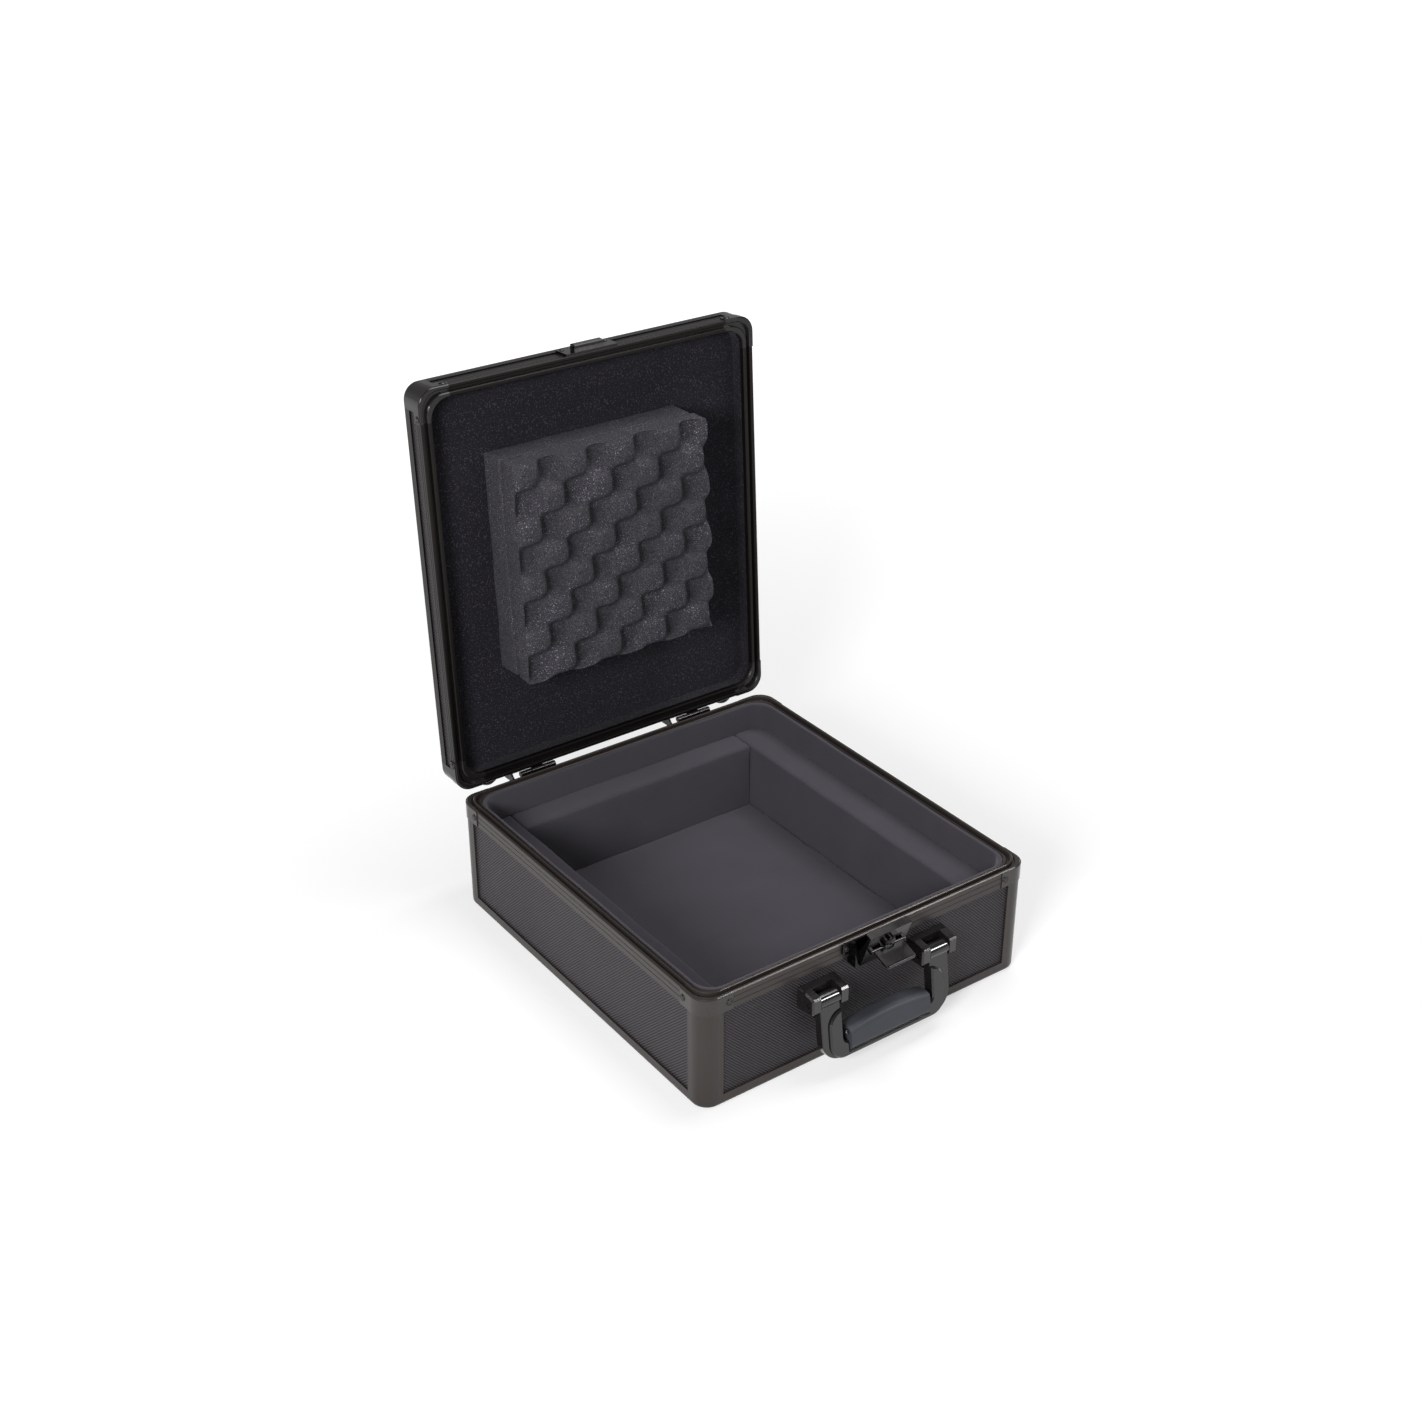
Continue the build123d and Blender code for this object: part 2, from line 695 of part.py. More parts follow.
def latch_hook():
    """A pressed channel: front plate, side flanges on the pin, and a claw folded in at the top."""
    half = latch_width / 2 - cheek_width - hook_side_gap
    y_front, y_back = front_y - hook_front, front_y - hook_front + hook_gauge
    body = block(-half, half, y_front, y_back, hook_z - hook_heel / 2, claw_top)
    body += block(-half, half, y_back, y_back + claw_reach, claw_low, claw_top)
    top_y = y_back + flange_top_reach
    points = [(y_back, hook_z - hook_heel / 2), (hook_y, hook_z - hook_heel / 2),
              (hook_y + hook_heel * 0.8, hook_z + hook_heel * 0.8), (top_y, claw_low),
              (top_y, claw_top), (y_back, claw_top)]
    flange = prism_x(points, half - hook_gauge, half)
    flange += rod_x(hook_heel, half - hook_gauge, half, hook_y, hook_z)
    for piece in mirrored_pair(flange):
        body += piece
    body -= rod_x(hook_pin_radius + pin_clearance, -half - 1, half + 1, hook_y, hook_z)
    boss = Pos(0, y_front - boss_depth / 2, boss_z) * Rot(90, 0, 0) * Cylinder(boss_radius, boss_depth)
    boss = chamfer(boss.edges().sort_by(Axis.Y)[0], edge_soft)
    body += boss
    bore = plug_radius + pin_clearance
    body -= Pos(0, y_front, boss_z) * Rot(90, 0, 0) * Cylinder(bore, 4 * boss_depth)
    lug_x = flap_width / 2 + flap_side_gap
    lug = block(lug_x, lug_x + flap_lug, flap_y, y_front, flap_z - flap_knuckle, flap_z + flap_knuckle)
    lug += rod_x(flap_knuckle, lug_x, lug_x + flap_lug, flap_y, flap_z)
    lug -= rod_x(flap_pin_radius, lug_x - 1, lug_x + flap_lug + 1, flap_y, flap_z)
    for piece in mirrored_pair(lug):
        body += piece
    return body


def latch_flap():
    """A pull flap, folded down along the hook's front, notched round the lock, with a lip at its edge."""
    half = flap_width / 2
    front = flap_y - flap_gauge / 2
    plate = block(-half, half, front, front + flap_gauge, flap_z - flap_length, flap_z)
    plate = fillet(plate.edges().filter_by(Axis.Y).group_by(Axis.Z)[0], flap_knuckle)
    lip = rod_x(flap_gauge * 0.75, -half + flap_knuckle, half - flap_knuckle, front + flap_gauge / 4,
                flap_z - flap_length + flap_gauge * 0.75)
    body = plate + lip + rod_x(flap_knuckle, -half, half, flap_y, flap_z)
    notch = boss_radius + flap_notch_gap
    body -= Pos(0, flap_y, flap_z + flap_knuckle) * Rot(90, 0, 0) * Cylinder(notch, 4 * flap_knuckle)
    return body - rod_x(flap_pin_radius + pin_clearance, -half - 1, half + 1, flap_y, flap_z)


def key_plug():
    """The lock's plug with its keyway, and the cam on its inner end."""
    y_front = front_y - hook_front - boss_depth - plug_proud
    y_cam = front_y - hook_front + hook_gauge + cam_gap
    depth = y_cam + cam_gauge - y_front
    plug = Pos(0, y_front + depth / 2, boss_z) * Rot(90, 0, 0) * Cylinder(plug_radius, depth)
    cam = block(-cam_width / 2, cam_width / 2, y_cam, y_cam + cam_gauge, boss_z - cam_length, boss_z)
    slot = block(-keyway_width / 2, keyway_width / 2, y_front - 1, y_front + keyway_depth,
                 boss_z - plug_radius * 0.7, boss_z + plug_radius * 0.7)
    return plug + cam - slot


def strike():
    """The plate on the lid's rim with the bar that the claw pulls down on."""
    half = strike_width / 2
    plate = block(-half, half, front_y - strike_plate_gauge, front_y, strike_low, strike_low + strike_height)
    plate = fillet(plate.edges().filter_by(Axis.Y), latch_plate)
    bar = block(-strike_bar_width / 2, strike_bar_width / 2, front_y - strike_bar_depth, front_y,
                bar_top - strike_bar_height, bar_top)
    bar = chamfer(bar.faces().sort_by(Axis.Y)[0].edges(), edge_soft)
    return plate + bar


def turned(shape, degrees, y, z):
    """A shape turned about an axis along X through (y, z)."""
    return Pos(0, y, z) * Rot(degrees, 0, 0) * Pos(0, -y, -z) * shape


def latch():
    """The hook leans out and the flap stands out from it, as they are left when the lid is open."""
    half = latch_width / 2
    pin_end = half - fit_gap
    flap_pin_end = flap_width / 2 + flap_side_gap + flap_lug - fit_gap
    fixed = {
        "latch_housing": latch_housing(),
        "latch_pin": rod_x(hook_pin_radius, -pin_end, pin_end, hook_y, hook_z),
    }
    flap_pin = rod_x(flap_pin_radius, boss_radius + flap_notch_gap, flap_pin_end, flap_y, flap_z)
    leaning = {
        "latch_hook": latch_hook(),
        "flap_pin": Compound(mirrored_pair(flap_pin)),
        "latch_flap": turned(latch_flap(), -flap_open, flap_y, flap_z),
        "key_plug": key_plug(),
    }
    return {**fixed, **{name: turned(shape, hook_open, hook_y, hook_z) for name, shape in leaning.items()}}


def base_parts():
    parts = base_boards()
    parts["base_corner_posts"] = Compound(at_corners(corner_post()))
    edge = edge_ring(edge_leg, top=False)
    edges = runs_of(edge, post_leg, 0, edge_leg)
    parts["base_bottom_edges"] = Compound(list(edges.values()))
    parts["base_bottom_corners"] = corners_of(edge_ring(cap_height, top=False), post_leg, 0, cap_height)
    parts.update(base_rim())
    parts["base_rim_rivets"] = rim_rivets(rim_z - base_rivet_drop)
    parts.update(base_linings())
    parts["base_rear_feet"] = rear_feet(base_foot_height, skin)
    parts.update(handle_brackets())
    parts.update(handle())
    parts.update(latch())
    return parts


def lid_parts():
    parts = lid_boards()
    parts.update(lid_rim())
    parts["lid_rim_rivets"] = rim_rivets(base_height + lid_rivet_rise)
    parts.update(lid_linings())
    parts.update(foam_pad())
    parts["lid_rear_feet"] = rear_feet(base_height + lid_foot_rise, 0.0)
    parts["strike_plate"] = strike()
    return parts


def solid_list(shape):
    """Every piece as plain solids, so that a group is a compound of its solids."""
    solids = shape.solids()
    return solids[0] if len(solids) == 1 else Compound(list(solids))


def main():
    os.makedirs("parts", exist_ok=True)
    fixed_hinge, moving_hinge = hinges()
    parts = {**base_parts(), **fixed_hinge}
    shut = {**lid_parts(), **moving_hinge}
    for name, shape in shut.items():
        parts[name] = turned(shape, -open_angle, hinge_y, hinge_z)
    for name, shape in parts.items():
        export_step(solid_list(shape), f"parts/{name}.step")
    print(len(parts), "nodes")


if __name__ == "__main__":
    main()
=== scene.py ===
"""Looks of an open mixer case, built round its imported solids. Sizes are in metres, in the solids' own frame."""

import json
from math import radians

import bmesh
import bpy
import numpy as np
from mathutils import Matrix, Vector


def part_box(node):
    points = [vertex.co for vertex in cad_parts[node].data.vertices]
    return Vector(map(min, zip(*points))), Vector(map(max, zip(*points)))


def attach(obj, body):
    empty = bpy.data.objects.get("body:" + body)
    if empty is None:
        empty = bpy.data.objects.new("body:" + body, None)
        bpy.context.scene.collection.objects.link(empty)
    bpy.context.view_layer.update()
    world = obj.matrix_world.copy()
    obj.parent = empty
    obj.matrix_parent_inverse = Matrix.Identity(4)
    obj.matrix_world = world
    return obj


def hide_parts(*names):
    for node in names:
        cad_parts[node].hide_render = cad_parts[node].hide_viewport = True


bl_info = {
    "name": "Mixer case finishes",
    "version": (1, 0, 0),
    "blender": (4, 5, 0),
    "location": "3D View > Sidebar > Case",
    "description": "Ribbed boards, dark profiles, velour linings, wavy foam and small fittings for a mixer case",
    "category": "Object",
}

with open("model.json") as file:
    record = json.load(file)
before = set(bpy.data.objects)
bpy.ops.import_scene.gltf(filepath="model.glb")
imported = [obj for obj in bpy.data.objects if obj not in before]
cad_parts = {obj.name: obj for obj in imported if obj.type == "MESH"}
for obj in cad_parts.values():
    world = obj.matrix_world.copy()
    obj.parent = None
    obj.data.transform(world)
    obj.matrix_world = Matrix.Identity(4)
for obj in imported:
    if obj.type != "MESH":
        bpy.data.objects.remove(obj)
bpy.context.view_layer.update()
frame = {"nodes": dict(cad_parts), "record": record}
NODES = frame["nodes"]
JOINTS = {joint["name"]: joint for joint in frame["record"]["behaviour"]["joints"]}


# Places and sizes that aren't read from the solids. The lid's are for the shut case.

HANDLE_TILT = 8.0
PLAN_RADIUS, PLAN_GROWTH = 0.015, 0.3
PLAN_RUN_STEPS, PLAN_ARC_STEPS = 40, 14
BLOCK_PITCH = 0.006

# Velour pads: the node, the axis it runs along, its edges' radius, and the seed of its unevenness
PADS = (("ledge_left", 1, 0.0026, 1.0), ("ledge_right", 1, 0.0026, 2.0), ("ledge_front", 0, 0.0026, 3.0),
        ("ledge_rear", 0, 0.0026, 4.0), ("floor_pad", 0, 0.0020, 5.0))
WALL_THICK, WALL_BEAD, WALL_STEP = 0.0050, 0.0020, 0.0039

FELT_LOW, FELT_JOIN, FELT_HIGH = 0.1170, 0.1325 - 0.0030, 0.1325 - 0.0001
FELT_HALF = (0.1668, 0.1838)
FELT_OUT, FELT_IN = 0.008, 0.011

FOAM_LEFT, FOAM_RIGHT, FOAM_NEAR, FOAM_FAR = -0.109, 0.094, -0.1185, 0.0885
FOAM_BACK = 0.1294
FOAM_FRONT = FOAM_BACK - 0.028
WAVE_GAP, WAVE_DROP = 0.0009, 0.0219
WAVE_STRETCH, WAVE_PEAK, WAVE_CELLS = 1.04, (0.0035, -0.0040), 150

# Fittings: how far each stands out from the plan outline, and where its pieces sit
CORNER_REACH, CORNER_PROUD = 0.026, 0.0008
BASE_RIVET_Z, LID_RIVET_Z = 0.103, 0.1162
HINGE_X, HINGE_RIVET_X, HINGE_PROUD = 0.09, 0.0095, 0.0015
HINGE_BASE_Z, HINGE_LID_Z = 0.098, 0.1245
SCREW_PROUD, SCREW_CROSS = 0.002, 0.17
LATCH_X, LATCH_Z = 0.030, 0.1049
STRIKE_X, STRIKE_Z = 0.0225, 0.1274
STUD_X, STUD_OUT, STUD_DOWN = 0.043, 0.0045, 0.0365

# Lamps: name, place, turn in degrees, width and power
LAMPS = (("key", (-1.65, -1.1, 1.1), (66, 0, -52), 0.6, 36),
         ("top", (0.6, 0.1, 2.2), (0, 15, 0), 1.1, 27),
         ("glint", (1.07, -1.39, 1.27), (57, 0, 42), 0.40, 16))
CAMERA_PLACE, CAMERA_TURN, CAMERA_LENS = (-0.9097, -1.2243, 1.0833), (60.84, 0, -35.75), 50.82
FLOOR_REACH = 14.0

# Which finish each material slot of the record takes
SLOT_FINISHES = {"laminate": "laminate", "black_bracket": "bracket", "gloss_black": "gloss",
                 "black_chrome": "plating", "fastener": "fastener", "grip": "grip", "foot": "foot",
                 "lining": "velour", "foam": "foam", "profile": "profile_x"}
ALONG_Y = ("base_rim_left", "base_rim_right", "lid_rim_left", "lid_rim_right")
FINISHES = {}


# Measures read from the solids

def corner_box(node):
    low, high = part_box(node)
    return np.array(low), np.array(high)


def plan_half():
    """Half the case's width and depth, where its bottom edge profiles end."""
    return corner_box("base_bottom_edges")[1][:2]


def turn_about(points, pivot, axis, degrees):
    """Points turned by an angle about an axis through a pivot, by Rodrigues' formula."""
    axis = np.array(axis, float) / np.linalg.norm(axis)
    rel = points - np.array(pivot)
    c, s = np.cos(radians(degrees)), np.sin(radians(degrees))
    return rel * c + np.cross(axis, rel) * s + np.outer(rel @ axis, axis).reshape(rel.shape) * (1 - c) + pivot


def opened(shells):
    """Shells drawn on the shut lid, taken to where the open lid rests."""
    lid = JOINTS["lid_hinge"]
    return [(turn_about(points, lid["pos_m"], lid["axis"], -lid["range_deg"][1]), cells)
            for points, cells in shells]


def on_handle(points):
    """Points of x, distance out and distance down from the handle's pivots, taken to where the handle
    rests: it hangs with a tilt."""
    x, out, down = np.moveaxis(np.asarray(points, float), -1, 0)
    pivot, tilt = JOINTS["handle_swing"]["pos_m"], radians(HANDLE_TILT)
    y = pivot[1] - out * np.cos(tilt) - down * np.sin(tilt)
    z = pivot[2] + out * np.sin(tilt) - down * np.cos(tilt)
    return np.stack([x, y, z], -1)


# Surfaces on a grid of two parameters. A shell is its points and its cells.

def quads(rows, cols, wrap_rows=False, wrap_cols=False):
    """Vertex numbers of the four-sided cells of a grid, which may close on itself either way."""
    r, c = np.meshgrid(np.arange(rows - (not wrap_rows)), np.arange(cols - (not wrap_cols)), indexing="ij")
    r2, c2 = (r + 1) % rows, (c + 1) % cols
    return np.stack([r * cols + c, r * cols + c2, r2 * cols + c2, r2 * cols + c], -1).reshape(-1, 4)


def add_piece(name, shells, body, material, smooth_angle=40):
    """One object from its shells. Doubles are merged and the faces are turned outwards."""
    points = np.concatenate([p.reshape(-1, 3) for p, _ in shells])
    offsets = np.cumsum([0] + [p.size // 3 for p, _ in shells[:-1]])
    cells = np.concatenate([c + o for (_, c), o in zip(shells, offsets)])
    mesh = bpy.data.meshes.new(name)
    mesh.from_pydata(points.tolist(), [], cells.tolist())
    work = bmesh.new()
    work.from_mesh(mesh)
    bmesh.ops.remove_doubles(work, verts=work.verts, dist=1e-6)
    bmesh.ops.dissolve_degenerate(work, edges=work.edges, dist=1e-7)
    bmesh.ops.recalc_face_normals(work, faces=work.faces)
    work.to_mesh(mesh)
    work.free()
    mesh.polygons.foreach_set("use_smooth", np.ones(len(mesh.polygons), bool))
    mesh.set_sharp_from_angle(angle=radians(smooth_angle))
    mesh.materials.append(material)
    obj = bpy.data.objects.new(name, mesh)
    bpy.context.scene.collection.objects.link(obj)
    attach(obj, body)
    return obj


def outline(half_x, half_y, radius, run_steps, arc_steps):
    """A rounded rectangle for each of M sizes, as K by M by 2. A point is its corner's centre plus the
    radius along the corner's direction, and on a straight run the centre slides from one corner to the
    next while the direction stays."""
    arc = np.linspace(0, 1, arc_steps)
    run = np.linspace(0, 1, run_steps + 2)[1:-1]
    turn = np.concatenate([np.r_[(i + arc), np.full(run.size, i + 1.0)] for i in range(4)]) * np.pi / 2
    signs = np.array([(1, 1), (-1, 1), (-1, -1), (1, -1), (1, 1)], float)
    centre = np.concatenate([np.r_[np.repeat(signs[i][None], arc.size, 0),
                                   signs[i] + run[:, None] * (signs[i + 1] - signs[i])] for i in range(4)])
    reach = np.stack([half_x - radius, half_y - radius], -1)
    way = np.stack([np.cos(turn), np.sin(turn)], -1)
    return centre[:, None] * reach + way[:, None] * np.asarray(radius)[:, None]


def soft_turns(points, sizes, steps):
    """A closed outline in two dimensions whose corners are rounded, each by an arc-like curve: a
    quadratic blend of the two sides' points at the rounding's reach, and the corner between."""
    points = np.array(points, float)
    before, after = np.roll(points, 1, 0), np.roll(points, -1, 0)
    sizes = np.broadcast_to(np.asarray(sizes, float), len(points))[:, None]
    a = points + (before - points) / np.linalg.norm(before - points, axis=1)[:, None] * sizes
    b = points + (after - points) / np.linalg.norm(after - points, axis=1)[:, None] * sizes
    t = np.linspace(0, 1, steps)[None, :, None]
    curve = a[:, None] * (1 - t) ** 2 + points[:, None] * 2 * t * (1 - t) + b[:, None] * t**2
    return curve.reshape(-1, 2)


def warp(points, amount, length, seed=0.0):
    """A slow unevenness: each coordinate gets a sum of sines of the others."""
    k = 2 * np.pi / length
    x, y, z = points[..., 0], points[..., 1], points[..., 2]
    shift = np.stack([
        np.sin(k * y + 1.3 * k * z + seed) + 0.5 * np.sin(2.3 * k * y - k * z + 2 * seed),
        np.sin(k * x - 1.7 * k * z + 1.1 + seed) + 0.5 * np.sin(2.1 * k * x + k * z + seed),
        np.sin(0.9 * k * x + 1.2 * k * y + 0.7 + seed) + 0.5 * np.sin(2.6 * k * x - 1.9 * k * y + seed)], -1)
    return points + amount * shift


def plan_ring(profile, half):
    """A closed profile of insets and heights, carried round the case's plan outline."""
    inset, height = profile[:, 0], profile[:, 1]
    flat = outline(half[0] - inset, half[1] - inset, PLAN_RADIUS + PLAN_GROWTH * inset, PLAN_RUN_STEPS,
                   PLAN_ARC_STEPS)
    points = np.concatenate([flat, np.broadcast_to(height[None, :, None], flat.shape[:2] + (1,))], -1)
    return points, quads(points.shape[0], points.shape[1], True, True)


def soft_block(low, high, radius, along, amount, length, seed):
    """A block with rounded edges. Its section is a rounded rectangle carried along one axis; near each
    end it draws in on a quarter circle, and the end face closes by scaling the section to nothing."""
    low, high = np.array(low, float), np.array(high, float)
    size, middle = high - low, (high + low) / 2
    a, b, c = along, (along + 1) % 3, (along + 2) % 3
    q = np.linspace(np.pi / 2, 0, 5)
    count = max(3, int(size[a] / BLOCK_PITCH))
    body = np.linspace(radius, size[a] - radius, count)[1:-1]
    place = np.r_[0, 0, 0, radius * (1 - np.sin(q))[1:], body]
    inset = np.r_[radius, radius, radius, radius * (1 - np.cos(q))[1:], body * 0]
    scale = np.r_[0, 0.6, 1, np.ones(4), body * 0 + 1]
    place = np.r_[place, size[a] - place[6::-1]]
    inset, scale = np.r_[inset, inset[6::-1]], np.r_[scale, scale[6::-1]]
    runs = max(3, int(max(size[b], size[c]) / BLOCK_PITCH))
    flat = outline(size[b] / 2 - inset, size[c] / 2 - inset, radius - inset, runs, 5) * scale[:, None]
    points = np.empty(flat.shape[:2] + (3,))
    points[..., a] = low[a] + place
    points[..., b], points[..., c] = middle[b] + flat[..., 0], middle[c] + flat[..., 1]
    return warp(points, amount, length, seed), quads(points.shape[0], points.shape[1], True, False)


def wavy_layer(low, high, drop, wave, period, peak, squareness, cells):
    """A block of foam whose low face is a chequer of bumps and hollows: the product of two cosines,
    pushed towards plateaus by a hyperbolic tangent. Its back edge is rounded on a quarter circle, and
    lifts off a little at the corners."""
    back_round, lift_height, lift_reach = 0.0022, 0.0042, (0.026, 0.050)
    round_start = 0.94
    x, y = np.meshgrid(np.linspace(low[0], high[0], cells), np.linspace(low[1], high[1], cells), indexing="ij")
    mid = ((low[0] + high[0]) / 2, (low[1] + high[1]) / 2)
    k = 2 * np.pi / np.array(period)
    product = np.cos(k[0] * (x - peak[0])) * np.cos(k[1] * (y - peak[1]))
    form = np.tanh(squareness * product) / np.tanh(squareness)
    front = np.stack([x, y, high[2] - drop - wave * form], -1)
    from_x = np.minimum(x - low[0], high[0] - x) / lift_reach[0]
    from_y = np.minimum(y - low[1], high[1] - y) / lift_reach[1]
    lift = np.clip(1 - from_x, 0, 1) * np.clip(1 - from_y, 0, 1)
    shrink = 1 - back_round / (np.array(high[:2]) - low[:2])
    back = np.stack([mid[0] + (x - mid[0]) * shrink[0], mid[1] + (y - mid[1]) * shrink[1],
                     high[2] - lift_height * lift], -1)
    n = cells
    edge = np.concatenate([np.arange(n) * n, (n - 1) * n + np.arange(1, n), np.arange(n - 2, -1, -1) * n + n - 1,
                           np.arange(n - 2, 0, -1)])
    rows = np.r_[0, 0.3, 0.6, round_start, 0.97, 0.99, 1][:, None, None]
    draw = 1 - (1 - np.clip((rows - round_start) / 0.06, 0, 1) ** 2) ** 0.5
    f, g = front.reshape(-1, 3)[edge], back.reshape(-1, 3)[edge]
    share = np.concatenate([draw, draw, rows], -1)
    sides = f[None] * (1 - share) + g[None] * share
    shells = [(front, quads(n, n)), (sides, quads(len(rows), len(edge), False, True)), (back, quads(n, n))]
    return [(warp(p, 0.00025, 0.05), c) for p, c in shells]


# Turned heads: profiles of radii and heights

def rivet_head(r):
    """A dome in the middle, a groove round it, and a rim that rises and falls again."""
    t = np.linspace(np.pi / 2, 0, 8)[1:]
    return np.c_[np.r_[0, 0.66 * r * np.cos(t), 0.70 * r, 0.74 * r, 0.90 * r, r, r],
                 np.r_[0.0008, 0.0001 + 0.0007 * np.sin(t), -0.0002, 0.0002, 0.00045, 0.0002, -0.0003]]


def pan_head(r):
    """A low head that falls with the cube of the radius, and a short edge."""
    rings = np.r_[np.linspace(0, 0.98, 14), 1.0]
    return np.r_[np.c_[rings * r, 0.0013 * (1 - rings**3 * 0.75)], [[r, -0.0003]]]


def stud_head():
    """A half ball on a short collar."""
    t = np.linspace(np.pi / 2, 0, 9)[1:]
    return np.c_[np.r_[0, 0.0026 * np.cos(t), 0.0026], np.r_[0.0036, 0.0012 + 0.0024 * np.sin(t), -0.0004]]


def spun(profile, places, steps=32, cross=0.0):
    """A turned head of radii and heights, repeated at each place along its normal. A cross recess is
    sunk where both the radius is small and one of the two flat coordinates is near nothing."""
    r, h = np.array(profile, float).T
    t = np.linspace(0, 2 * np.pi, steps, endpoint=False)[:, None]
    x, y = r * np.cos(t), r * np.sin(t)
    z = np.broadcast_to(h, x.shape).copy()
    if cross:
        width, reach = cross * r.max(), 0.62 * r.max()
        inside = np.clip((width - np.minimum(abs(x), abs(y))) / (0.35 * width), 0, 1)
        z -= inside * np.clip((reach - np.hypot(x, y)) / (0.1 * r.max()), 0, 1) * h.max() * 0.75
    cells = quads(steps, len(r), True, False)
    shells = []
    for place, normal, spin in places:
        normal = np.array(normal, float) / np.linalg.norm(normal)
        side = np.cross(normal, (0, 0, 1.0) if abs(normal[2]) < 0.9 else (0, 1.0, 0))
        side /= np.linalg.norm(side)
        side = side * np.cos(spin) + np.cross(normal, side) * np.sin(spin)
        up = np.cross(normal, side)
        points = np.array(place) + x[..., None] * side + y[..., None] * up + z[..., None] * normal
        shells.append((points, cells))
    return shells


def corner_spots(half, z):
    """Places at one height for a head on each outer face of the four corners."""
    spots = []
    for sx in (-1, 1):
        for sy in (-1, 1):
            spots += [((sx * (half[0] + CORNER_PROUD), sy * (half[1] - CORNER_REACH), z), (sx, 0, 0), 0.0),
                      ((sx * (half[0] - CORNER_REACH), sy * (half[1] + CORNER_PROUD), z), (0, sy, 0), 0.0)]
    return spots


# Shader graphs

class Value:
    """An output socket. Sums on it add Math nodes."""

    def __init__(self, graph, socket):
        self.graph, self.socket = graph, socket

    def math(self, operation, *inputs):
        return self.graph.add("ShaderNodeMath", {"operation": operation}, dict(enumerate(inputs)))

    def __add__(self, other): return self.math("ADD", self, other)
    def __radd__(self, other): return self.math("ADD", other, self)
    def __sub__(self, other): return self.math("SUBTRACT", self, other)
    def __rsub__(self, other): return self.math("SUBTRACT", other, self)
    def __mul__(self, other): return self.math("MULTIPLY", self, other)

    def step(self, low, high):
        """A smooth rise from 0 to 1 between two values, or a fall where the first is the higher."""
        return self.graph.add("ShaderNodeMapRange", {"interpolation_type": "SMOOTHSTEP"},
                              {"Value": self, "From Min": low, "From Max": high})


class Finish:
    """A material, or the world, and the nodes that feed its shader."""

    def __init__(self, name, owner=None):
        self.material = owner or bpy.data.materials.new(name)
        self.material.use_nodes = True
        self.tree = self.material.node_tree
        self.tree.nodes.clear()
        self.place = self.add("ShaderNodeTexCoord", out="Object")

    def add(self, kind, settings=None, inputs=None, out=0):
        """One node of a kind: its settings first, then the values or links of its sockets."""
        node = self.tree.nodes.new(kind)
        for key, value in (settings or {}).items():
            setattr(node, key, value)
        for key, value in (inputs or {}).items():
            if isinstance(value, Value):
                self.tree.links.new(value.socket, node.inputs[key])
            else:
                node.inputs[key].default_value = value
        return Value(self, node.outputs[out])

    def outputs(self, kind, inputs=None):
        """One node of a kind, as all of its outputs by name."""
        node = self.add(kind, None, inputs).socket.node
        return {socket.name: Value(self, socket) for socket in node.outputs}

    def noise(self, scale, detail=3.0, rough=0.55, stretch=None, seed=0.0):
        place = self.place
        if stretch or seed:
            place = self.add("ShaderNodeMapping", None, {"Vector": place, "Location": (seed, seed, seed),
                                                          "Scale": stretch or (1, 1, 1)})
        return self.add("ShaderNodeTexNoise", None, {"Vector": place, "Scale": scale, "Detail": detail,
                                                      "Roughness": rough})

    def cells(self, scale):
        """Distance from the nearest of a scatter of points."""
        return self.add("ShaderNodeTexVoronoi", {"feature": "F1"}, {"Vector": self.place, "Scale": scale},
                        "Distance")

    def mix(self, factor, first, second):
        """A colour between two, each a link or a plain colour."""
        full = [c if isinstance(c, Value) else tuple(c)[:3] + (1.0,) for c in (first, second)]
        return self.add("ShaderNodeMix", {"data_type": "RGBA"}, {0: factor, 6: full[0], 7: full[1]}, 2)

    def bump(self, height, distance, strength):
        return self.add("ShaderNodeBump", None, {"Height": height, "Distance": distance, "Strength": strength})

    def close(self, colour, roughness, normal, **fixed):
        """The material's one shader. Colour, roughness and normal may vary; the rest are set on its
        sockets."""
        shader = self.add("ShaderNodeBsdfPrincipled", None, {
            "Base Color": colour, "Roughness": roughness, "Normal": normal,
            **{key.replace("_", " "): value for key, value in fixed.items()}})
        self.add_output(shader)
        return self.material

    def add_output(self, shader, kind="ShaderNodeOutputMaterial"):
        output = self.tree.nodes.new(kind)
        self.tree.links.new(shader.socket, output.inputs["Surface"])


def shade(colour, factor):
    return tuple(min(1.0, c * factor) for c in tuple(colour)[:3])


def ribbed_laminate(colour, pitch):
    """Boards pressed with fine slanting ribs. The ribs follow x + 0.96 y + z, which slants them the right way
    on the front, on the sides and on the lid alike. Their colour runs from black in the grooves to bright on
    the crests, which is painted shade and painted highlight."""
    f = Finish("ribbed laminate")
    axes = f.outputs("ShaderNodeSeparateXYZ", {"Vector": f.place})
    along = (axes["X"] + axes["Y"] * 0.96 + axes["Z"]) * (1 / (2**0.5 * pitch))
    wave = along.math("PINGPONG", along, 0.5) * 2
    ridge = wave.step(0.22, 0.78)
    haze = f.noise(9, 4)
    dust = f.noise(700, 2)
    # Painted shade in the rib grooves and a painted highlight on the crests, with real dust mixed in
    tone = f.mix(ridge * 0.92 + dust * 0.08, shade(colour, 0.0), shade(colour, 2.1))
    tone = f.mix(haze.step(0.35, 0.75) * 0.15, tone, shade(colour, 1.10))
    rough = 0.42 + haze * 0.14 - ridge * 0.06
    return f.close(tone, rough, f.bump(ridge + dust * 0.08, 0.00040, 1.0), Specular_IOR_Level=0.32)


